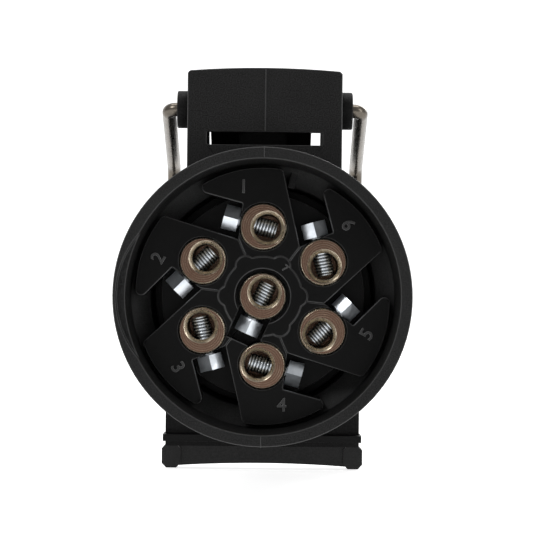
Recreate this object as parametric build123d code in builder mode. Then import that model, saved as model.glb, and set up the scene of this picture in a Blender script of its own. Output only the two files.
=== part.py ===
"""Seven-pole trailer wiring connector: a round cable socket with a sprung lid and a locking bail.

Millimetres. X is to the right seen from the wiring side, Y runs along the connector from the
wiring side to the plug side, and Z is up. The origin is the centre of the rear rim.
"""

import os
from math import cos, radians, sin

from build123d import *

# Housing, from the rear rim at y = 0 to the mouth
COLLAR_R = 23.0
COLLAR_LENGTH = 12.0
BODY_R = 21.6
HOUSING_LENGTH = 50.0
BEAD_R = 22.0
BEAD_WIDTH = 2.5
RIM_INNER_R = 21.2
LEDGE_OUTER_R = 20.8
LEDGE_OUTER_Y = 10.5
LEDGE_INNER_R = 17.9
LEDGE_INNER_Y = 13.5
SEAT_Y = 24.0
PARTITION = 4.0
NECK_R = 16.1
CAVITY_R = 19.2
KEYWAY_WIDTH = 5.0
KEYWAY_R = 20.4
RIM_POCKET_R = 14.6
RIM_POCKET_X = -7.9
RIM_POCKET_DEPTH = 1.4
RIB_ANGLE = 76.0
RIB_WIDTH = 1.0

# Hinge tower on top of the housing
TOWER_HALF = 12.6
EAR = 3.2
TOWER_REAR_Y = 20.0
TOWER_WALL = 2.5
TOWER_FRONT_Y = 37.0
TOWER_TOP_Z = 36.5
TOWER_CROWN = 0.5
BRIDGE_BOTTOM_Z = 26.6
TOWER_ROOT_Z = 17.5
SHELF_Z = 24.45
SHELF_FRONT_Y = 24.5

# Hinge
HINGE_Y = 28.5
HINGE_Z = 30.7
PIN_R = 1.5
PIN_CLEARANCE = 0.06
PIN_HALF = 12.95
CAP_R = 3.1
CAP_GAP = 0.1
CAP_OUTER_X = 14.55

# Contact insert
FLOOR_Y = 14.0
PLATEAU_Y = 8.0
INSERT_R = 16.2
FLANGE_R = 17.6
FLANGE_Y = 21.4
SEAL_Y = 23.0
NOSE_R = 15.9
NOSE_Y = 42.0
BLADE_R = 20.15
BLADE_CLEARANCE = 0.35
BOSS_Y = 7.3
BOSS_R = 6.2
LOBE_R = 7.0
BOSS_BORE_R = 4.3

# Contacts: a clamp barrel for the wire at the rear, a slotted pin socket at the front
POLES = 6
POLE_CIRCLE_R = 10.9
BARREL_R = 3.65
BARREL_Y = 7.5
BARREL_END_Y = 20.0
BARREL_CHAMFER = 0.2
SOCKET_R = 3.25
SOCKET_END_Y = 42.0
PIN_BORE_R = 2.5
PIN_BORE_DEPTH = 16.0
WIRE_BORE_R = 2.15
WIRE_BORE_DEPTH = 11.5
WIRE_BORE_OFFSET = -0.7
COUNTERSINK = 0.55
SLIT = 0.7
SLIT_LENGTH = 10.0
POCKET_R = 3.75
WINDOW_Y = 40.0
RING_THICKNESS = 0.4
RING_Y = 33.0
RING_LENGTH = 4.0

# Clamp screws, across each barrel
SCREW_TURN = 75.0
CENTRE_SCREW_ANGLE = -114.0
SCREW_Y = 10.7
SCREW_R = 1.25
SCREW_HOLE_R = 1.5
SCREW_TIP = -2.1
HEAD_START = 4.05
HEAD_END = 6.45
HEAD_R = 2.25
HEAD_SLOT = 0.6
HEAD_CLEARANCE = 0.3

# Lid
LID_R = 24.2
LID_REAR_Y = 50.9
LID_FRONT_Y = 54.0
LID_SKIRT_R = 22.9
LID_SKIRT_Y = 48.6
GASKET_INNER_R = 18.5
GASKET_OUTER_R = 21.4
GASKET_Y = 50.2
GASKET_DEPTH = 0.7
APRON_HALF = 17.15
APRON_BOTTOM_Z = -27.2
APRON_BEAD_Z = -25.6
APRON_BEAD = 1.2
ARM_LEFT_X = -9.0
ARM_RIGHT_X = 7.75
ARM_BOTTOM_Z = 24.4
KNUCKLE_R = 3.6
SPRING_BAY = (-4.3, 3.7)

# Lid spring
SPRING_WIRE_R = 0.5
SPRING_R = 2.6
SPRING_PITCH = 1.25
SPRING_TURNS = 5
SPRING_TAIL = 4.8

# Bail
WIRE_R = 1.15
LEG_TOP_X = 16.0
LEG_TOP_BEND = 1.3
LEG_BEND = 4.0
LEG_BOTTOM_X = 16.25
BAIL_Y = 55.9
BAIL_BEND_Z = 22.0
GRIP_TOP_Z = -27.2
GRIP_BOTTOM_Z = -31.4
GRIP_REAR_Y = 54.4
GRIP_FRONT_Y = 59.6
POST_WIDTH = 3.4
POST_CHAMFER = 0.8
GRIP_STEP = 0.3
GRIP_HOLLOW = 0.6
GRIP_SETBACK = 0.6
LEG_END_Z = -30.0


def across(y):
    """The plane at y, seen from the wiring side: its x is X, its y is Z, and it faces the rear."""
    return Plane.XZ.offset(-y)


def towards(angle, radius=1.0):
    """X and Z of a point at an angle round the connector's axis."""
    return radius * cos(radians(angle)), radius * sin(radians(angle))


def contact_plane(point, angle, y):
    """A plane across a contact, with its x along the contact's screw."""
    dx, dz = towards(angle)
    return Plane(origin=(point[0], y, point[1]), x_dir=(dx, 0, dz), z_dir=(0, -1, 0))


def screw_plane(point, angle, reach):
    """A plane across a clamp screw's axis, reach away from the contact's axis, facing outward."""
    dx, dz = towards(angle)
    origin = (point[0] + reach * dx, SCREW_Y, point[1] + reach * dz)
    return Plane(origin=origin, x_dir=(0, 1, 0), z_dir=(dx, 0, dz))


def save(piece, name):
    piece.part.label = name
    export_step(piece.part, f"parts/{name}.step")


os.makedirs("parts", exist_ok=True)

# Where each contact stands, and which way its screw points
poles = []
for number in range(1, POLES + 1):
    angle = 90 + (number - 1) * 60
    poles.append((number, towards(angle, POLE_CIRCLE_R), angle + SCREW_TURN))
poles.append((POLES + 1, (0.0, 0.0), CENTRE_SCREW_ANGLE))
pole_points = [point for _, point, _ in poles]

# ---------------------------------------------------------------- housing
with BuildPart() as housing:
    with BuildSketch(Plane.XY):
        with BuildLine():
            Polyline(
                (0, 0),
                (COLLAR_R, 0),
                (COLLAR_R, COLLAR_LENGTH),
                (BODY_R, COLLAR_LENGTH + 1),
                (BODY_R, HOUSING_LENGTH - BEAD_WIDTH),
                (BEAD_R, HOUSING_LENGTH - BEAD_WIDTH),
                (BEAD_R, HOUSING_LENGTH),
                (0, HOUSING_LENGTH),
                close=True,
            )
        make_face()
    revolve(axis=Axis.Y)
    with BuildSketch(across(TOWER_FRONT_Y)):
        with BuildLine():
            Line((-TOWER_HALF, TOWER_ROOT_Z), (-TOWER_HALF, TOWER_TOP_Z - 0.4))
            Line((-TOWER_HALF, TOWER_TOP_Z - 0.4), (-TOWER_HALF + 0.4, TOWER_TOP_Z))
            ThreePointArc(
                (-TOWER_HALF + 0.4, TOWER_TOP_Z),
                (0, TOWER_TOP_Z + TOWER_CROWN),
                (TOWER_HALF - 0.4, TOWER_TOP_Z),
            )
            Line((TOWER_HALF - 0.4, TOWER_TOP_Z), (TOWER_HALF, TOWER_TOP_Z - 0.4))
            Line((TOWER_HALF, TOWER_TOP_Z - 0.4), (TOWER_HALF, TOWER_ROOT_Z))
            Line((TOWER_HALF, TOWER_ROOT_Z), (-TOWER_HALF, TOWER_ROOT_Z))
        make_face()
    extrude(amount=TOWER_FRONT_Y - TOWER_REAR_Y)
    # The bay between the ears, open at the front and the top, with a slot at the rear over a low shelf
    bay = TOWER_HALF - EAR
    with BuildSketch(Plane.YZ.offset(-bay)):
        with BuildLine():
            Polyline(
                (TOWER_REAR_Y + TOWER_WALL, 60),
                (TOWER_REAR_Y + TOWER_WALL, BRIDGE_BOTTOM_Z),
                (TOWER_REAR_Y - 1, BRIDGE_BOTTOM_Z),
                (TOWER_REAR_Y - 1, SHELF_Z),
                (SHELF_FRONT_Y, SHELF_Z),
                (SHELF_FRONT_Y, BODY_R),
                (TOWER_FRONT_Y + 1, BODY_R),
                (TOWER_FRONT_Y + 1, 60),
                close=True,
            )
        make_face()
    extrude(amount=2 * bay, mode=Mode.SUBTRACT)
    # Ears taper back to the hinge at the front
    with BuildSketch(Plane.YZ.offset(-TOWER_HALF - 1)):
        with BuildLine():
            Polyline(
                (TOWER_FRONT_Y - 4.5, 60),
                (TOWER_FRONT_Y - 4.5, TOWER_TOP_Z - 3.5),
                (TOWER_FRONT_Y + 1, BODY_R + 2),
                (TOWER_FRONT_Y + 1, 60),
                close=True,
            )
        make_face()
    extrude(amount=2 * TOWER_HALF + 2, mode=Mode.SUBTRACT)
    # Rear chamber, neck for the insert and plug cavity
    with BuildSketch(Plane.XY):
        with BuildLine():
            Polyline(
                (0, -1),
                (RIM_INNER_R, -1),
                (RIM_INNER_R, 0),
                (LEDGE_OUTER_R, LEDGE_OUTER_Y),
                (LEDGE_INNER_R, LEDGE_INNER_Y),
                (LEDGE_INNER_R, SEAT_Y),
                (NECK_R, SEAT_Y),
                (NECK_R, SEAT_Y + PARTITION),
                (CAVITY_R, SEAT_Y + PARTITION),
                (CAVITY_R, HOUSING_LENGTH + 1),
                (0, HOUSING_LENGTH + 1),
                close=True,
            )
        make_face()
    revolve(axis=Axis.Y, mode=Mode.SUBTRACT)
    # Keyway for the plug, at the top of the cavity
    with BuildSketch(across(HOUSING_LENGTH + 1)):
        with Locations((0, (CAVITY_R - 2 + KEYWAY_R) / 2)):
            Rectangle(KEYWAY_WIDTH, KEYWAY_R - CAVITY_R + 2)
    extrude(amount=HOUSING_LENGTH + 1 - SEAT_Y - PARTITION - 2, mode=Mode.SUBTRACT)
    # Crescent pocket in the rim
    with BuildSketch(across(RIM_POCKET_DEPTH)):
        with Locations((RIM_POCKET_X, 0)):
            Circle(RIM_POCKET_R)
    extrude(amount=RIM_POCKET_DEPTH + 1, mode=Mode.SUBTRACT)
    # Holes for the hinge pin
    with BuildSketch(Plane.YZ.offset(-TOWER_HALF - 1)):
        with Locations((HINGE_Y, HINGE_Z)):
            Circle(PIN_R + PIN_CLEARANCE)
    extrude(amount=2 * TOWER_HALF + 2, mode=Mode.SUBTRACT)
    # Locating rib on the ledge, beside the first blade, and latch lugs over the insert's flange
    with BuildSketch(across(LEDGE_INNER_Y)):
        with Locations(towards(RIB_ANGLE, (LEDGE_INNER_R + LEDGE_OUTER_R) / 2)):
            Rectangle(LEDGE_OUTER_R - LEDGE_INNER_R + 0.6, RIB_WIDTH, rotation=RIB_ANGLE)
    extrude(amount=LEDGE_INNER_Y - 11.2)
    with BuildSketch(across(FLANGE_Y - 0.1)):
        with PolarLocations(LEDGE_INNER_R - 0.25, 3, start_angle=30):
            Rectangle(1.6, 3.0)
    extrude(amount=1.2)

# ---------------------------------------------------------------- contact insert
with BuildSketch() as blade:
    tip = towards(123.5, BLADE_R - 0.3)
    corner = towards(81.5, BLADE_R)
    with BuildLine():
        ThreePointArc(tip, towards(102, BLADE_R), corner)
        Polyline(corner, (5.75, 7.8), (0, 0), (-3.9, 9.0), (-3.3, 14.55), tip)
    make_face()
    outer = blade.vertices().sort_by(Axis.Y)[-2:]
    fillet(outer, radius=0.9)

with BuildPart() as blades:
    with BuildSketch(across(FLOOR_Y + 1)):
        for step in range(POLES):
            add(blade.sketch, rotation=60 * step)
    extrude(amount=FLOOR_Y + 1 - PLATEAU_Y)
    with BuildSketch(Plane.XY):
        with BuildLine():
            Polyline(
                (0, 0),
                (LEDGE_OUTER_R - BLADE_CLEARANCE, 0),
                (LEDGE_OUTER_R - BLADE_CLEARANCE, LEDGE_OUTER_Y - 0.4),
                (LEDGE_INNER_R - BLADE_CLEARANCE, LEDGE_INNER_Y - 0.4),
                (LEDGE_INNER_R - BLADE_CLEARANCE, FLOOR_Y + 2),
                (0, FLOOR_Y + 2),
                close=True,
            )
        make_face()
    revolve(axis=Axis.Y, mode=Mode.INTERSECT)

with BuildPart() as contact_insert:
    with BuildSketch(across(SEAL_Y)):
        Circle(INSERT_R)
    extrude(amount=SEAL_Y - FLOOR_Y)
    with BuildSketch(across(SEAL_Y)):
        Circle(FLANGE_R)
    extrude(amount=SEAL_Y - FLANGE_Y)
    add(blades.part)
    # Lobed boss round the centre contact
    with BuildSketch(across(PLATEAU_Y)):
        Circle(BOSS_R)
        with PolarLocations(LOBE_R - 1.6, POLES):
            Circle(1.6)
    extrude(amount=PLATEAU_Y - BOSS_Y)
    with BuildSketch(across(BARREL_END_Y)):
        Circle(BOSS_BORE_R)
    extrude(amount=BARREL_END_Y - 5, mode=Mode.SUBTRACT)
    with BuildSketch(across(BARREL_END_Y)):
        Circle(BOSS_BORE_R)
        Circle(POCKET_R, mode=Mode.SUBTRACT)
    extrude(amount=BARREL_END_Y - PLATEAU_Y - 2)
    # Bay for the centre contact's screw
    with BuildSketch(across(SCREW_Y + HEAD_R + HEAD_CLEARANCE)):
        with Locations(towards(CENTRE_SCREW_ANGLE, 5.4)):
            Rectangle(5.2, 5.2, rotation=CENTRE_SCREW_ANGLE)
    extrude(amount=8, mode=Mode.SUBTRACT)
    # Wells for the contacts
    with BuildSketch(across(SEAL_Y + 1)):
        with Locations(*pole_points):
            Circle(POCKET_R)
    extrude(amount=SEAL_Y + 1, mode=Mode.SUBTRACT)
    # Clearance for each screw's shank where it leaves its barrel
    for number, point, angle in poles[:-1]:
        with BuildSketch(screw_plane(point, angle, BARREL_R - 0.5)):
            Circle(HEAD_R + HEAD_CLEARANCE)
        extrude(amount=HEAD_END - BARREL_R + 0.9, mode=Mode.SUBTRACT)

# ---------------------------------------------------------------- insert nose, which the plug goes over
with BuildPart() as insert_nose:
    with BuildSketch(across(NOSE_Y)):
        Circle(NOSE_R)
    extrude(amount=NOSE_Y - SEAL_Y)
    with BuildSketch(across(WINDOW_Y)):
        with Locations(*pole_points):
            Circle(POCKET_R)
    extrude(amount=WINDOW_Y, mode=Mode.SUBTRACT)
    with BuildSketch(across(NOSE_Y + 1)):
        with Locations(*pole_points):
            Circle(SOCKET_R + 0.05)
    extrude(amount=NOSE_Y + 1 - WINDOW_Y, mode=Mode.SUBTRACT)

# ---------------------------------------------------------------- seal behind the insert's flange
with BuildPart() as insert_seal:
    with BuildSketch(across(SEAT_Y)):
        Circle(FLANGE_R - 0.1)
        Circle(NECK_R + 0.05, mode=Mode.SUBTRACT)
    extrude(amount=SEAT_Y - SEAL_Y)


# ---------------------------------------------------------------- contacts and their clamp screws
for number, point, angle in poles:
    with BuildPart() as terminal:
        with BuildSketch(contact_plane(point, angle, BARREL_END_Y)):
            Circle(BARREL_R)
        extrude(amount=BARREL_END_Y - BARREL_Y)
        chamfer(terminal.faces().sort_by(Axis.Y)[0].edges(), length=BARREL_CHAMFER)
        with BuildSketch(contact_plane(point, angle, SOCKET_END_Y)):
            Circle(SOCKET_R)
        extrude(amount=SOCKET_END_Y - BARREL_END_Y)
        with BuildSketch(contact_plane(point, angle, BARREL_Y + WIRE_BORE_DEPTH)):
            with Locations((WIRE_BORE_OFFSET, 0)):
                Circle(WIRE_BORE_R)
        extrude(amount=WIRE_BORE_DEPTH, mode=Mode.SUBTRACT)
        # Countersink that guides the wire in
        with BuildSketch(contact_plane(point, angle, BARREL_Y + COUNTERSINK)):
            with Locations((WIRE_BORE_OFFSET, 0)):
                Circle(WIRE_BORE_R)
        extrude(amount=COUNTERSINK + 0.1, taper=-45, mode=Mode.SUBTRACT)
        with BuildSketch(contact_plane(point, angle, SOCKET_END_Y)):
            Circle(PIN_BORE_R)
        extrude(amount=PIN_BORE_DEPTH, mode=Mode.SUBTRACT)
        with BuildSketch(contact_plane(point, angle, SOCKET_END_Y)):
            Rectangle(SLIT, 2 * SOCKET_R + 1)
        extrude(amount=SLIT_LENGTH, mode=Mode.SUBTRACT)
        with BuildSketch(screw_plane(point, angle, 0)):
            Circle(SCREW_HOLE_R)
        extrude(amount=BARREL_R + 1, mode=Mode.SUBTRACT)
    save(terminal, f"terminal_{number}")

    with BuildPart() as terminal_screw:
        with BuildSketch(screw_plane(point, angle, SCREW_TIP)):
            Circle(SCREW_R)
        extrude(amount=HEAD_START - SCREW_TIP)
        with BuildSketch(screw_plane(point, angle, HEAD_START)):
            RegularPolygon(HEAD_R, 6)
        extrude(amount=HEAD_END - HEAD_START)
        with BuildSketch(screw_plane(point, angle, HEAD_END)):
            Rectangle(HEAD_SLOT, 2 * HEAD_R + 1)
        extrude(amount=-0.8, mode=Mode.SUBTRACT)
    save(terminal_screw, f"terminal_screw_{number}")

# ---------------------------------------------------------------- spring rings round the slotted sockets
with BuildPart() as contact_rings:
    with BuildSketch(across(RING_Y + RING_LENGTH)):
        with Locations(*pole_points):
            Circle(SOCKET_R + RING_THICKNESS)
        with Locations(*pole_points):
            Circle(SOCKET_R, mode=Mode.SUBTRACT)
    extrude(amount=RING_LENGTH)

# ---------------------------------------------------------------- lid
with BuildPart() as lid:
    with BuildSketch(across(LID_FRONT_Y)):
        Circle(LID_R)
        with Locations((0, APRON_BOTTOM_Z / 2)):
            Rectangle(2 * APRON_HALF, -APRON_BOTTOM_Z)
    extrude(amount=LID_FRONT_Y - LID_REAR_Y)
    with BuildSketch(across(LID_REAR_Y)):
        Circle(LID_R)
        Circle(LID_SKIRT_R, mode=Mode.SUBTRACT)
    extrude(amount=LID_REAR_Y - LID_SKIRT_Y)
    # Bead across the apron, above its lower edge
    with BuildSketch(across(LID_FRONT_Y)):
        with Locations((0, APRON_BEAD_Z)):
            Rectangle(2 * APRON_HALF + 0.7, APRON_BEAD)
    extrude(amount=LID_FRONT_Y - LID_SKIRT_Y)
    # Hinge arm and knuckle
    with BuildSketch(Plane.YZ.offset(ARM_LEFT_X)):
        with BuildLine():
            Polyline(
                (HINGE_Y, HINGE_Z + KNUCKLE_R),
                (HINGE_Y + 12, HINGE_Z + KNUCKLE_R - 0.6),
                (LID_FRONT_Y - 3, HINGE_Z + 1.0),
                (LID_FRONT_Y, HINGE_Z - 3.0),
                (LID_FRONT_Y, 18),
                (LID_REAR_Y, 18),
                (LID_REAR_Y, ARM_BOTTOM_Z),
                (HINGE_Y + 5.5, ARM_BOTTOM_Z),
                (HINGE_Y, HINGE_Z - KNUCKLE_R),
                close=True,
            )
        make_face()
        with Locations((HINGE_Y, HINGE_Z)):
            Circle(KNUCKLE_R)
    extrude(amount=ARM_RIGHT_X - ARM_LEFT_X)
    with BuildSketch(Plane.YZ.offset(SPRING_BAY[0])):
        with Locations((HINGE_Y, HINGE_Z)):
            Rectangle(2 * KNUCKLE_R + 2, 30)
    extrude(amount=SPRING_BAY[1] - SPRING_BAY[0], mode=Mode.SUBTRACT)
    with BuildSketch(Plane.YZ.offset(ARM_LEFT_X - 1)):
        with Locations((HINGE_Y, HINGE_Z)):
            Circle(PIN_R + 0.01)
    extrude(amount=ARM_RIGHT_X - ARM_LEFT_X + 2, mode=Mode.SUBTRACT)
    # Seat for the gasket
    with BuildSketch(across(LID_REAR_Y + GASKET_DEPTH)):
        Circle(GASKET_OUTER_R)
        Circle(GASKET_INNER_R, mode=Mode.SUBTRACT)
    extrude(amount=GASKET_DEPTH, mode=Mode.SUBTRACT)

with BuildPart() as lid_gasket:
    with BuildSketch(across(LID_REAR_Y + GASKET_DEPTH)):
        Circle(GASKET_OUTER_R)
        Circle(GASKET_INNER_R, mode=Mode.SUBTRACT)
    extrude(amount=LID_REAR_Y + GASKET_DEPTH - GASKET_Y)

# ---------------------------------------------------------------- hinge pin, its caps and the lid spring
with BuildPart() as hinge_pin:
    with BuildSketch(Plane.YZ.offset(-PIN_HALF)):
        with Locations((HINGE_Y, HINGE_Z)):
            Circle(PIN_R)
    extrude(amount=2 * PIN_HALF)

for name, side in (("left", -1), ("right", 1)):
    with BuildPart() as cap:
        with BuildSketch(Plane.YZ.offset(side * (TOWER_HALF + CAP_GAP))):
            with Locations((HINGE_Y, HINGE_Z)):
                Circle(CAP_R)
                Circle(PIN_R + 0.01, mode=Mode.SUBTRACT)
        extrude(amount=side * (PIN_HALF - TOWER_HALF - CAP_GAP))
        with BuildSketch(Plane.YZ.offset(side * PIN_HALF)):
            with Locations((HINGE_Y, HINGE_Z)):
                Circle(CAP_R)
                Circle(WIRE_R + PIN_CLEARANCE, mode=Mode.SUBTRACT)
        extrude(amount=side * (CAP_OUTER_X - PIN_HALF))
    save(cap, f"hinge_cap_{name}")

spring_length = SPRING_PITCH * SPRING_TURNS
coil_plane = Plane(
    origin=((SPRING_BAY[0] + SPRING_BAY[1] - spring_length) / 2, HINGE_Y, HINGE_Z),
    x_dir=(0, 0, -1),
    z_dir=(1, 0, 0),
)
coil_line = coil_plane * Helix(SPRING_PITCH, spring_length, SPRING_R)
coil_section = Plane(origin=coil_line @ 0, z_dir=coil_line % 0) * Circle(SPRING_WIRE_R)
with BuildPart() as lid_spring:
    add(sweep(coil_section, path=coil_line))
    # Tails, along the coil's tangent at each end, one to the tower's wall and one to the arm
    for end, way in ((0, -1), (1, 1)):
        with BuildSketch(Plane(origin=coil_line @ end, z_dir=(0, way, 0)).offset(-SPRING_WIRE_R)):
            Circle(SPRING_WIRE_R)
        extrude(amount=SPRING_TAIL)

# ---------------------------------------------------------------- bail: two bent wires and a grip
for name, side in (("left", -1), ("right", 1)):
    with BuildPart() as leg:
        with BuildLine() as route:
            FilletPolyline(
                (side * (PIN_HALF + 0.1), HINGE_Y, HINGE_Z),
                (side * LEG_TOP_X, HINGE_Y, HINGE_Z),
                (side * LEG_BOTTOM_X, BAIL_Y, BAIL_BEND_Z),
                (side * LEG_BOTTOM_X, BAIL_Y, LEG_END_Z),
                radius=[LEG_TOP_BEND, LEG_BEND],
            )
        with BuildSketch(Plane(origin=route.line @ 0, z_dir=(side, 0, 0))):
            Circle(WIRE_R)
        sweep(path=route.line)
    save(leg, f"bail_leg_{name}")

post_middle_z = (GRIP_TOP_Z + GRIP_BOTTOM_Z) / 2
with BuildSketch() as post:
    Rectangle(POST_WIDTH, GRIP_TOP_Z - GRIP_BOTTOM_Z)
    chamfer(post.vertices(), length=POST_CHAMFER)

with BuildPart() as bail_grip:
    # A bar with a hollowed lower edge
    with BuildSketch(across(GRIP_FRONT_Y)):
        with BuildLine():
            low = GRIP_BOTTOM_Z + GRIP_STEP
            Line((-LEG_BOTTOM_X, low), (-LEG_BOTTOM_X, GRIP_TOP_Z - GRIP_STEP))
            Line((-LEG_BOTTOM_X, GRIP_TOP_Z - GRIP_STEP), (LEG_BOTTOM_X, GRIP_TOP_Z - GRIP_STEP))
            Line((LEG_BOTTOM_X, GRIP_TOP_Z - GRIP_STEP), (LEG_BOTTOM_X, low))
            ThreePointArc((LEG_BOTTOM_X, low), (0, low + GRIP_HOLLOW), (-LEG_BOTTOM_X, low))
        make_face()
    extrude(amount=GRIP_FRONT_Y - GRIP_REAR_Y - GRIP_SETBACK)
    with BuildSketch(across(GRIP_FRONT_Y)):
        with Locations((-LEG_BOTTOM_X, post_middle_z), (LEG_BOTTOM_X, post_middle_z)):
            add(post.sketch)
    extrude(amount=GRIP_FRONT_Y - GRIP_REAR_Y)
    # Sockets for the two wires
    with BuildSketch(Plane.XY.offset(LEG_END_Z)):
        with Locations((-LEG_BOTTOM_X, BAIL_Y), (LEG_BOTTOM_X, BAIL_Y)):
            Circle(WIRE_R + 0.05)
    extrude(amount=5, mode=Mode.SUBTRACT)

save(housing, "housing")
save(contact_insert, "contact_insert")
save(insert_nose, "insert_nose")
save(insert_seal, "insert_seal")
save(contact_rings, "contact_rings")
save(lid, "lid")
save(lid_gasket, "lid_gasket")
save(hinge_pin, "hinge_pin")
save(lid_spring, "lid_spring")
save(bail_grip, "bail_grip")
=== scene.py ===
"""Looks for the trailer wiring connector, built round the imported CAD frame.

Lengths are in metres. X is to the right, Y runs from the wiring side to the plug side, and Z is up.
"""

import math

import bmesh
import bpy
from mathutils import Matrix, Vector


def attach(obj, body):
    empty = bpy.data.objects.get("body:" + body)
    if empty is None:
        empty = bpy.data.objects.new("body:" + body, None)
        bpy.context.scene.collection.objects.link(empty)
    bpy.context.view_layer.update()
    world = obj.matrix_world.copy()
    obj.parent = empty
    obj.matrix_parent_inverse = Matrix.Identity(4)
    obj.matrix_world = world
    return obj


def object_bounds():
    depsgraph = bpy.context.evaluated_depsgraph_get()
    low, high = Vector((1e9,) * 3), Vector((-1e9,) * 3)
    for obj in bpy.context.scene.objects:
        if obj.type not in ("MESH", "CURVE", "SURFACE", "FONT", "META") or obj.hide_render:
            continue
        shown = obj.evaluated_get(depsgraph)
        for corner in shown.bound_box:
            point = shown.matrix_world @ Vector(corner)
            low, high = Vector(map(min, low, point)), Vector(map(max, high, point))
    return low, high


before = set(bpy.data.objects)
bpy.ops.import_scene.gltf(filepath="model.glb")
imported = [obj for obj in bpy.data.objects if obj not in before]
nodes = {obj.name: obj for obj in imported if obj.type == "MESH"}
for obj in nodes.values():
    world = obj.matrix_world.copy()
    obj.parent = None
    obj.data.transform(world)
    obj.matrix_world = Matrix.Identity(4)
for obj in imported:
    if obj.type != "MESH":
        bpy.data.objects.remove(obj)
cad_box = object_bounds()
MM = 0.001

# The connector's layout, as in the CAD
POLES = 6
POLE_STEP = 60
FIRST_POLE_ANGLE = 90
POLE_CIRCLE_R = 10.9 * MM
SCREW_TURN = 75
CENTRE_SCREW_ANGLE = -114
SCREW_Y = 10.7 * MM
PLATEAU_Y = 8.0 * MM
BOSS_Y = 7.3 * MM
LID_FRONT_Y = 54.0 * MM

# The thread on a clamp screw's shank, measured from the middle of its barrel
THREAD_TIP = -2.15 * MM
THREAD_END = 4.0 * MM
THREAD_PITCH = 0.5 * MM
THREAD_ROOT_R = 1.27 * MM
THREAD_CREST_R = 1.49 * MM
THREAD_LEAD_IN = 0.35 * MM
CREST_FLATNESS = 1.25

# Pole numbers: upright on the top and bottom blades, tilted on the others
NUMBER_CIRCLE_R = 17.4 * MM
FIRST_NUMBER_ANGLE = 100.5
NUMBER_TURNS = (0, 60, -60)
NUMBER_SIZE = 3.0 * MM
BOSS_NUMBER_R = 5.6 * MM
BOSS_NUMBER_ANGLE = 52
BOSS_NUMBER_TURN = -38
BOSS_NUMBER_SIZE = 1.5 * MM

# Raised details start this far inside the face that they stand on
SUNK = 0.2 * MM

# Plastics: how far the grain swings the tone, the least share of tone that it leaves, the extra shine of
# the rear-facing bevels, and how much of their painted highlight is left on edges inside the collar
GRAIN_CONTRAST = 7
DARKEST_GRAIN = 0.15
EDGE_SHINE = 8
INNER_EDGE_SHARE = 0.3
COLLAR_INSIDE_R = 20.95 * MM

# Lathe marks on the contacts' end faces
RING_PITCH = 0.34 * MM
RING_WOBBLE = 0.08 * MM

# Where the camera stands: straight behind the connector, a little high and to the right
CAMERA_DISTANCE = 320 * MM
CAMERA_X = 1.1 * MM
CAMERA_Z = 4.13 * MM
CAMERA_ROLL = 0.6
VIEW_WIDTH = 82.6 * MM
SENSOR = 36

FLOOR_GAP = 0.2 * MM


# ---------------------------------------------------------------- objects and the camera
def add_object(name, data):
    made = bpy.data.objects.new(name, data)
    bpy.context.scene.collection.objects.link(made)
    return made


def standing(place, roll):
    """Stands a camera up to look along Y, or a text up to be read from the wiring side."""
    upright = Matrix.Rotation(math.radians(90), 4, "X")
    return Matrix.Translation(place) @ upright @ Matrix.Rotation(math.radians(roll), 4, "Z")


def add_camera():
    data = bpy.data.cameras.new("camera")
    data.sensor_width = SENSOR
    data.lens = SENSOR * CAMERA_DISTANCE / VIEW_WIDTH
    data.clip_start = 0.01
    data.clip_end = 20
    camera = add_object("camera", data)
    camera.matrix_world = standing((CAMERA_X, -CAMERA_DISTANCE, CAMERA_Z), CAMERA_ROLL)
    bpy.context.scene.camera = camera


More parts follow.
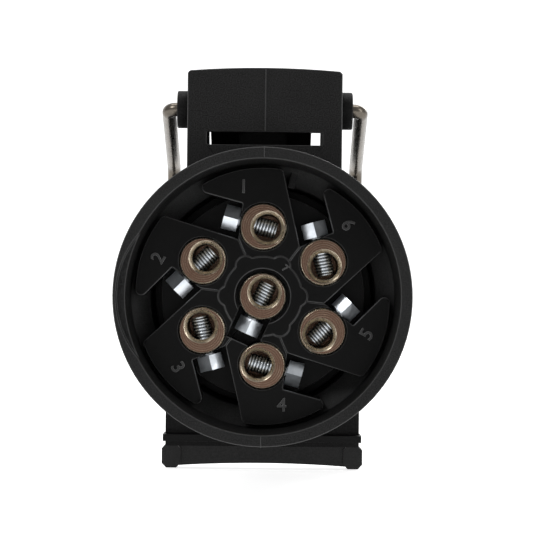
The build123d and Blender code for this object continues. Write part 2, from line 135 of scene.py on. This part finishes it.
# ---------------------------------------------------------------- materials
class Nodes:
    """A material's node tree with short calls for the nodes used here."""

    def __init__(self, name):
        self.material = bpy.data.materials.new(name)
        self.material.use_nodes = True
        self.tree = self.material.node_tree
        self.shader = self.tree.nodes["Principled BSDF"]
        self.place = self.add("ShaderNodeTexCoord").outputs["Object"]

    def add(self, kind, **settings):
        node = self.tree.nodes.new(kind)
        for key, value in settings.items():
            setattr(node, key, value)
        return node

    def fill(self, socket, value):
        """Links a socket to another node's output, or sets it to a number or colour."""
        if isinstance(value, bpy.types.NodeSocket):
            self.tree.links.new(value, socket)
        else:
            socket.default_value = value

    def shade(self, name, value):
        """Fills one of the shader's own sockets."""
        self.fill(self.shader.inputs[name], value)

    def noise(self, scale, detail=4.0, rough=0.55):
        node = self.add("ShaderNodeTexNoise")
        self.fill(node.inputs["Vector"], self.place)
        self.fill(node.inputs["Scale"], scale)
        self.fill(node.inputs["Detail"], detail)
        self.fill(node.inputs["Roughness"], rough)
        return node.outputs["Fac"]

    def ramp(self, source, stops):
        """Turns a value into a tone or colour; each stop is (value, tone or colour)."""
        node = self.add("ShaderNodeValToRGB")
        ends = node.color_ramp.elements
        while len(ends) < len(stops):
            ends.new(0.5)
        for end, (position, tone) in zip(ends, stops):
            end.position = position
            end.color = (*tone, 1) if isinstance(tone, tuple) else (tone, tone, tone, 1)
        self.fill(node.inputs["Fac"], source)
        return node.outputs["Color"]

    def span(self, source, low, high):
        """Stretches a value from 0 to 1 over a range."""
        node = self.add("ShaderNodeMapRange")
        self.fill(node.inputs["Value"], source)
        self.fill(node.inputs["To Min"], low)
        self.fill(node.inputs["To Max"], high)
        return node.outputs["Result"]

    def math(self, operation, *values):
        node = self.add("ShaderNodeMath", operation=operation)
        for socket, value in zip(node.inputs, values):
            self.fill(socket, value)
        return node.outputs[0]

    def split(self, vector):
        node = self.add("ShaderNodeSeparateXYZ")
        self.fill(node.inputs[0], vector)
        return node.outputs

    def radius(self, centre=(0, 0)):
        """Distance from a line along Y."""
        place = self.split(self.place)
        x = self.math("SUBTRACT", place["X"], centre[0])
        z = self.math("SUBTRACT", place["Z"], centre[1])
        squares = self.math("ADD", self.math("MULTIPLY", x, x), self.math("MULTIPLY", z, z))
        return self.math("SQRT", squares)

    def towards_rear(self):
        """How squarely a face looks to the wiring side, from 1 to -1."""
        normal = self.split(self.add("ShaderNodeTexCoord").outputs["Normal"])
        return self.math("MULTIPLY", normal["Y"], -1)

    def lit_bevel_mask(self, inner_radius):
        """Mask of the painted edge highlight: 1 on bevels that look to the wiring side, less inside a
        radius, and 0 elsewhere.
        """
        bevels = self.ramp(self.towards_rear(), [(0.15, 0.0), (0.4, 1.0), (0.88, 1.0), (0.985, 0.0)])
        outside = self.math("GREATER_THAN", self.radius(), inner_radius)
        return self.math("MULTIPLY", bevels, self.math("MAXIMUM", outside, INNER_EDGE_SHARE))

    def bumps(self, *layers):
        """Stacks bump maps; each layer is (height, strength, distance)."""
        normal = None
        for height, strength, distance in layers:
            node = self.add("ShaderNodeBump")
            self.fill(node.inputs["Height"], height)
            self.fill(node.inputs["Strength"], strength)
            self.fill(node.inputs["Distance"], distance)
            if normal:
                self.fill(node.inputs["Normal"], normal)
            normal = node.outputs["Normal"]
        self.shade("Normal", normal)


def plastic(name, tone, rough, grain, grain_depth, gloss, speckle=0.3, edge=0.0, edge_from=0.0):
    """Moulded plastic: fine spark-eroded grain, faint flow marks, and a painted highlight on the bevels
    that face the wiring side.

    tone and rough are (low, high). speckle is how strongly the grain shows, and edge is how much painted
    highlight lightens the rear-facing bevels, in full only further out than edge_from.
    """
    n = Nodes(name)
    edge_highlight_and_shine = n.lit_bevel_mask(edge_from)
    flow = n.noise(90, detail=3, rough=0.6)
    fine = n.noise(grain, detail=5, rough=0.7)
    dust = n.noise(700, detail=5, rough=0.7)
    swing = n.math("MULTIPLY", n.math("SUBTRACT", fine, 0.5), GRAIN_CONTRAST * speckle)
    grainy = n.math("MAXIMUM", n.math("ADD", swing, 1), DARKEST_GRAIN)
    base = n.math("MULTIPLY", n.ramp(flow, [(0.3, tone[0]), (0.7, tone[1])]), grainy)
    shine = n.math("MULTIPLY", grainy, gloss)
    # Painted highlight: the rear-facing bevels are lighter in colour. Below, they also get a higher
    # specular level.
    n.shade("Base Color", n.math("ADD", base, n.math("MULTIPLY", edge_highlight_and_shine, edge)))
    n.shade("Specular IOR Level", n.math("ADD", shine, n.math("MULTIPLY", edge_highlight_and_shine, EDGE_SHINE * edge)))
    n.shade("Roughness", n.span(dust, *rough))
    n.bumps((fine, 0.5, grain_depth), (dust, 0.25, grain_depth))
    return n.material


def rubber():
    """Soft black rubber with a matt, slightly uneven skin."""
    n = Nodes("seal_rubber")
    n.shade("Base Color", n.ramp(n.noise(300), [(0.3, 0.012), (0.7, 0.022)]))
    n.shade("Roughness", n.span(n.noise(900), 0.6, 0.8))
    n.bumps((n.noise(2500), 0.3, 0.02 * MM))
    return n.material


def thread_metal(name, light):
    """Zinc plate with painted shade in the thread's roots, from the height stored along the thread."""
    n = Nodes(name)
    crest = n.add("ShaderNodeAttribute", attribute_name="crest").outputs["Fac"]
    # Painted shade: dark in the thread's roots, light on its crests.
    n.shade("Base Color", n.ramp(crest, [(0.1, 0.07), (0.6, light)]))
    n.shade("Roughness", n.span(n.noise(1500), 0.2, 0.36))
    n.shade("Metallic", 1.0)
    return n.material


def metal(name, dark, light, rough, grain=1500, depth=0.01 * MM):
    """Plated metal: cloudy tarnish and a fine grain. rough is (low, high)."""
    n = Nodes(name)
    cloud = n.noise(350, detail=5, rough=0.6)
    grit = n.noise(grain, detail=4, rough=0.6)
    n.shade("Base Color", n.ramp(cloud, [(0.3, dark), (0.65, light)]))
    n.shade("Roughness", n.span(grit, *rough))
    n.shade("Metallic", 1.0)
    n.bumps((grit, 0.25, depth))
    return n.material


def turned_metal(name, centre):
    """Nickel-plated turned brass: a brown end face with lathe rings, painted highlight on the bevels, and
    painted shade on the sides and in the bore.
    """
    n = Nodes(name)
    wobble = n.math("MULTIPLY", n.noise(900, detail=3), RING_WOBBLE)
    uneven_radius = n.math("ADD", n.radius(centre), wobble)
    rings = n.math("SINE", n.math("MULTIPLY", uneven_radius, 2 * math.pi / RING_PITCH))
    flatness = n.math("ABSOLUTE", n.towards_rear())
    marks = n.math("MULTIPLY", n.math("MAXIMUM", rings, 0), 0.05)
    cloud = n.math("MULTIPLY", n.noise(500, detail=5, rough=0.65), 0.05)
    blend = n.math("ADD", n.math("SUBTRACT", flatness, marks), n.math("SUBTRACT", cloud, 0.02))
    # The tone follows how squarely a face looks to the wiring side: painted shade on the sides and in the
    # bore, painted highlight on the bevels, and the end face's own brown.
    shaded_sides = (0.0, (0.012, 0.010, 0.009))
    lit_steep_bevel = (0.3, (0.54, 0.48, 0.38))
    bevel = (0.88, (0.64, 0.55, 0.42))
    end_face = (0.97, (0.105, 0.062, 0.044))
    n.shade("Base Color", n.ramp(blend, [shaded_sides, lit_steep_bevel, bevel, end_face]))
    n.shade("Roughness", n.span(n.noise(1200, detail=4), 0.2, 0.36))
    n.shade("Metallic", 1.0)
    n.bumps((rings, 0.3, 0.008 * MM), (n.noise(2500, detail=4), 0.04, 0.004 * MM))
    return n.material


# ---------------------------------------------------------------- small mesh helpers
def mm(*values):
    """Millimetres to metres."""
    return [value * MM for value in values]


def towards(angle, radius):
    return radius * math.cos(math.radians(angle)), radius * math.sin(math.radians(angle))


def add_piece(name, mesh, material, body):
    """Makes a mesh a piece that rides on a body."""
    mesh.materials.clear()
    mesh.materials.append(material)
    piece = add_object(name, mesh)
    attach(piece, body)
    return piece


def finish_mesh(name, bm, material, body, smooth=True):
    """Turns a bmesh into a piece that rides on a body."""
    bmesh.ops.recalc_face_normals(bm, faces=bm.faces)
    mesh = bpy.data.meshes.new(name)
    bm.to_mesh(mesh)
    bm.free()
    for face in mesh.polygons:
        face.use_smooth = smooth
    return add_piece(name, mesh, material, body)


def facing(origin, direction, up=(0, 1, 0)):
    """A placement at origin whose local Z points along direction."""
    z = Vector(direction).normalized()
    x = Vector(up).cross(z).normalized()
    y = z.cross(x)
    turn = Matrix((x, y, z)).transposed().to_4x4()
    return Matrix.Translation(origin) @ turn


def join_rings(bm, low, high):
    """Faces between two rings of as many points."""
    for step in range(len(low)):
        after = (step + 1) % len(low)
        bm.faces.new((low[step], low[after], high[after], high[step]))


def lathe(bm, profile, steps, matrix):
    """Turns a closed outline of (radius, height) points round local Z, then places it by matrix."""
    rings = []
    for radius, height in profile:
        ring = []
        for step in range(steps):
            turn = 2 * math.pi * step / steps
            point = Vector((radius * math.cos(turn), radius * math.sin(turn), height))
            ring.append(bm.verts.new(matrix @ point))
        rings.append(ring)
    for low, high in zip(rings, rings[1:] + rings[:1]):
        join_rings(bm, low, high)


def strip(bm, corner, size, edge):
    """A box with bevelled edges, from its lowest corner and size."""
    made = bmesh.ops.create_cube(bm, size=1)["verts"]
    for vert in made:
        vert.co = Vector([c + s * (v + 0.5) for c, s, v in zip(corner, size, vert.co)])
    edges = [e for e in bm.edges if e.verts[0] in made]
    bmesh.ops.bevel(bm, geom=edges, offset=edge, segments=2, affect="EDGES", profile=0.7)


def soften(name, width, segments=2, clamp=True):
    """Rounds a CAD node's sharp edges, as moulding or tumbling leaves them."""
    weld = nodes[name].modifiers.new("weld", "WELD")
    weld.merge_threshold = 0.002 * MM
    bevel = nodes[name].modifiers.new("edges", "BEVEL")
    bevel.width = width
    bevel.segments = segments
    bevel.limit_method = "ANGLE"
    bevel.angle_limit = math.radians(35)
    bevel.use_clamp_overlap = clamp
    bevel.miter_outer = "MITER_ARC"


def paint(material, *names):
    """Gives CAD nodes their material."""
    for name in names:
        materials = nodes[name].data.materials
        materials.clear()
        materials.append(material)


# ---------------------------------------------------------------- the pieces that CAD leaves plain
def pole_layout():
    """Number, centre and clamp screw's angle of each pole, with the centre pole last."""
    layout = []
    for step in range(POLES):
        angle = FIRST_POLE_ANGLE + POLE_STEP * step
        layout.append((step + 1, towards(angle, POLE_CIRCLE_R), angle + SCREW_TURN))
    layout.append((POLES + 1, (0.0, 0.0), CENTRE_SCREW_ANGLE))
    return layout


def clamp_screw_thread(number, centre, angle, material):
    """The rolled thread on a clamp screw's shank, from its tip to its head."""
    steps, spokes = 120, 40
    along_x, along_z = towards(angle, 1)
    place = facing((centre[0], SCREW_Y, centre[1]), (along_x, 0, along_z))
    bm = bmesh.new()
    rings = []
    ridges = []
    for step in range(steps + 1):
        height = THREAD_TIP + (THREAD_END - THREAD_TIP) * step / steps
        lead_in = min(1, (height - THREAD_TIP) / THREAD_LEAD_IN)
        ring = []
        for spoke in range(spokes):
            turn = 2 * math.pi * spoke / spokes
            phase = (height / THREAD_PITCH + spoke / spokes) % 1
            ridge = 1 - abs(2 * phase - 1)
            rise = (THREAD_CREST_R - THREAD_ROOT_R) * min(1, CREST_FLATNESS * ridge) * lead_in
            radius = THREAD_ROOT_R + rise
            point = Vector((radius * math.cos(turn), radius * math.sin(turn), height))
            ring.append(bm.verts.new(place @ point))
            ridges.append(ridge)
        rings.append(ring)
    for low, high in zip(rings, rings[1:]):
        join_rings(bm, low, high)
    bm.faces.new(rings[0])
    bm.faces.new(rings[-1])
    piece = finish_mesh(f"screw_thread_{number}", bm, material, "shell")
    stored = piece.data.attributes.new("crest", "FLOAT", "POINT")
    for item, ridge in zip(stored.data, ridges):
        item.value = ridge


def numeral(text, size, place, turn, material):
    """One raised numeral on a rear-facing surface."""
    curve = bpy.data.curves.new(f"pole_number_{text}", "FONT")
    curve.body = text
    curve.size = size
    curve.extrude = 0.16 * MM
    curve.bevel_depth = 0.04 * MM
    curve.align_x = "CENTER"
    curve.align_y = "CENTER"
    outline = add_object("numeral_outline", curve)
    outline.matrix_world = standing(place, turn)
    bpy.context.view_layer.update()
    evaluated = outline.evaluated_get(bpy.context.evaluated_depsgraph_get())
    mesh = bpy.data.meshes.new_from_object(evaluated)
    mesh.transform(outline.matrix_world)
    bpy.data.objects.remove(outline)
    add_piece(f"pole_number_{text}", mesh, material, "shell")


def pole_numbers(material):
    """The numbers 1 to 6 on the blades and 7 on the boss, with their middles just proud of the surface."""
    proud = 0.05 * MM
    for step in range(POLES):
        x, z = towards(FIRST_NUMBER_ANGLE + POLE_STEP * step, NUMBER_CIRCLE_R)
        turn = NUMBER_TURNS[step % len(NUMBER_TURNS)]
        numeral(str(step + 1), NUMBER_SIZE, (x, PLATEAU_Y - proud, z), turn, material)
    x, z = towards(BOSS_NUMBER_ANGLE, BOSS_NUMBER_R)
    place = (x, BOSS_Y - proud, z)
    numeral(str(POLES + 1), BOSS_NUMBER_SIZE, place, BOSS_NUMBER_TURN, material)


def parting_lines(material):
    """Fine raised lines where the mould's halves met, as corner and size in millimetres."""
    width, height = 0.14, 0.15
    upper_x, lower_x = -0.02, -0.12
    tower = (0.0, 19.9, 26.7), (0.2, 0.2, 10.1)
    rim_top = (upper_x, -0.05, 21.4), (width, 0.2, 1.5)
    rim_bottom = (lower_x, -0.05, -22.9), (width, 0.2, 1.5)
    collar_top = (upper_x, 0.1, 22.9), (width, 11.7, height)
    collar_bottom = (lower_x, 0.1, -23.05), (width, 11.7, height)
    body_bottom = (lower_x, 13.2, -21.65), (width, 34.0, height)
    body_top = (upper_x, 13.2, 21.5), (width, 6.6, height)
    bm = bmesh.new()
    for corner, size in (tower, rim_top, rim_bottom, collar_top, collar_bottom, body_bottom, body_top):
        strip(bm, mm(*corner), mm(*size), edge=0.04 * MM)
    finish_mesh("parting_lines", bm, material, "shell", smooth=False)


def lid_ring(material):
    """A low raised ring with rounded edges on the lid's front."""
    inner, outer, height = mm(11.0, 12.2, 0.6)
    centre = (0, LID_FRONT_Y, 1 * MM)
    edge = min(0.3 * (outer - inner), 0.5 * height)
    profile = [
        (inner, -SUNK),
        (inner, height - edge),
        (inner + 0.3 * edge, height - 0.3 * edge),
        (inner + edge, height),
        (outer - edge, height),
        (outer - 0.3 * edge, height - 0.3 * edge),
        (outer, height - edge),
        (outer, -SUNK),
    ]
    bm = bmesh.new()
    lathe(bm, profile, 96, facing(centre, (0, 1, 0), up=(0, 0, 1)))
    finish_mesh("lid_ring", bm, material, "lid")


def lid_ribs(material):
    """Two stiffening ribs high on the lid's front, and four ribs for the thumb low on it."""
    base_y = LID_FRONT_Y - SUNK
    rib = mm(1.2, 0.75, 9.5)
    rib_x, rib_z = mm(6.6, 10.3)
    thumb_rib = mm(18, 0.8, 1.0)
    thumb_z, thumb_step = mm(-16.5, -2.4)
    bm = bmesh.new()
    for side in (-1, 1):
        strip(bm, (side * rib_x - rib[0] / 2, base_y, rib_z), rib, edge=0.15 * MM)
    for step in range(4):
        strip(bm, (-thumb_rib[0] / 2, base_y, thumb_z + thumb_step * step), thumb_rib, edge=0.2 * MM)
    finish_mesh("lid_ribs", bm, material, "lid", smooth=False)


# ---------------------------------------------------------------- stage and light
def floor_material():
    n = Nodes("studio_white")
    n.shade("Base Color", n.ramp(n.noise(3), [(0.3, 0.59), (0.7, 0.61)]))
    n.shade("Roughness", 0.9)
    n.shade("Emission Color", (1, 1, 1, 1))
    n.shade("Emission Strength", 0.8)
    return n.material


def add_stage(floor_z):
    """A pale floor that curves up into a backdrop far behind the object."""
    radius, back, front, half, top = 0.6, 1.6, -5.0, 5.0, 2.5
    steps = 12
    line = [(front, floor_z), (back, floor_z)]
    for step in range(1, steps + 1):
        turn = math.radians(90 * step / steps)
        line.append((back + radius * math.sin(turn), floor_z + radius * (1 - math.cos(turn))))
    line.append((back + radius, floor_z + top))
    bm = bmesh.new()
    rows = [[bm.verts.new((x, y, z)) for x in (-half, half)] for y, z in line]
    for low, high in zip(rows, rows[1:]):
        bm.faces.new((low[0], low[1], high[1], high[0]))
    mesh = bpy.data.meshes.new("floor")
    bm.to_mesh(mesh)
    bm.free()
    for face in mesh.polygons:
        face.use_smooth = True
    mesh.materials.append(floor_material())
    floor = add_object("floor", mesh)


def area_light(name, place, size, power, target=(0, 0, 0)):
    data = bpy.data.lights.new(name, "AREA")
    data.shape = "RECTANGLE"
    data.size, data.size_y = size
    data.energy = power
    light = add_object(name, data)
    light.location = place
    light.rotation_euler = (Vector(target) - Vector(place)).to_track_quat("-Z", "Y").to_euler()


def add_light():
    """Even white surroundings, and soft lamps at upper left, at right, overhead and in front."""
    world = bpy.data.worlds.new("studio")
    bpy.context.scene.world = world
    world.use_nodes = True
    shade = world.node_tree.nodes["Background"]
    shade.inputs["Color"].default_value = (1, 1, 1, 1)
    shade.inputs["Strength"].default_value = 0.5
    area_light("key", place=(-0.40, -0.35, 0.50), size=(0.25, 0.20), power=1.6)
    area_light("fill", place=(0.55, -0.25, 0.25), size=(0.12, 0.45), power=0.9)
    area_light("top", place=(0, 0.15, 0.7), size=(0.7, 0.3), power=3)
    area_light("front", place=(0.35, 0.75, 0.4), size=(0.4, 0.4), power=2.5, target=(0, 0.05, 0))
    bpy.context.scene.view_settings.view_transform = "Standard"


# ---------------------------------------------------------------- make it
add_camera()

housing_black = plastic(
    "housing_plastic",
    tone=(0.0045, 0.008),
    rough=(0.5, 0.64),
    grain=5200,
    grain_depth=0.12 * MM,
    gloss=0.18,
    speckle=0.5,
    edge=0.03,
    edge_from=COLLAR_INSIDE_R,
)
cap_black = plastic(
    "cap_plastic",
    tone=(0.003, 0.005),
    rough=(0.45, 0.6),
    grain=4500,
    grain_depth=0.06 * MM,
    gloss=0.12,
)
grip_black = plastic(
    "grip_plastic",
    tone=(0.004, 0.007),
    rough=(0.34, 0.46),
    grain=4500,
    grain_depth=0.03 * MM,
    gloss=0.25,
    speckle=0.2,
    edge=0.035,
)
insert_black = plastic(
    "insert_plastic",
    tone=(0.001, 0.0022),
    rough=(0.3, 0.42),
    grain=1500,
    grain_depth=0.008 * MM,
    gloss=0.09,
    speckle=0.05,
    edge=0.045,
)
lid_black = plastic(
    "lid_plastic",
    tone=(0.0025, 0.0045),
    rough=(0.36, 0.5),
    grain=5000,
    grain_depth=0.03 * MM,
    gloss=0.12,
    speckle=0.25,
)
# Numerals and parting lines: lighter than the plastic they stand on, as a painted highlight on the raised
# relief, with a strong painted highlight on their rear-facing bevels.
lit_relief_black = plastic(
    "lit_relief_plastic",
    tone=(0.02, 0.03),
    rough=(0.3, 0.42),
    grain=1500,
    grain_depth=0.005 * MM,
    gloss=0.3,
    speckle=0.05,
    edge=0.1,
)
rubber_black = rubber()
zinc = metal("screw_zinc", (0.54, 0.58, 0.62), (0.80, 0.84, 0.88), rough=(0.26, 0.42), depth=0.004 * MM)
thread_zinc = thread_metal("thread_zinc", (0.72, 0.76, 0.80))
wire_nickel = metal(
    "bail_wire",
    (0.09, 0.08, 0.068),
    (0.14, 0.122, 0.10),
    rough=(0.24, 0.32),
    grain=900,
    depth=0.001 * MM,
)
spring_metal = metal("spring_steel", (0.38, 0.38, 0.38), (0.55, 0.55, 0.54), rough=(0.22, 0.4))

paint(housing_black, "housing")
paint(cap_black, "hinge_cap_left", "hinge_cap_right")
paint(lid_black, "lid")
paint(grip_black, "bail_grip")
paint(insert_black, "contact_insert", "insert_nose")
paint(rubber_black, "insert_seal", "lid_gasket")
paint(spring_metal, "hinge_pin", "lid_spring", "contact_rings")
paint(wire_nickel, "bail_leg_left", "bail_leg_right")

for number, centre, screw_angle in pole_layout():
    paint(turned_metal(f"contact_metal_{number}", centre), f"terminal_{number}")
    paint(zinc, f"terminal_screw_{number}")
    clamp_screw_thread(number, centre, screw_angle, thread_zinc)
    soften(f"terminal_{number}", 0.1 * MM)
    soften(f"terminal_screw_{number}", 0.32 * MM, segments=4)

soften("housing", 0.15 * MM, clamp=False)
soften("contact_insert", 0.16 * MM, clamp=False)
soften("lid", 0.5 * MM, segments=3)
for name in ("bail_grip", "hinge_cap_left", "hinge_cap_right"):
    soften(name, 0.35 * MM, segments=3)

pole_numbers(lit_relief_black)
parting_lines(lit_relief_black)
lid_ring(lid_black)
lid_ribs(lid_black)

add_stage(cad_box[0].z - FLOOR_GAP)
add_light()
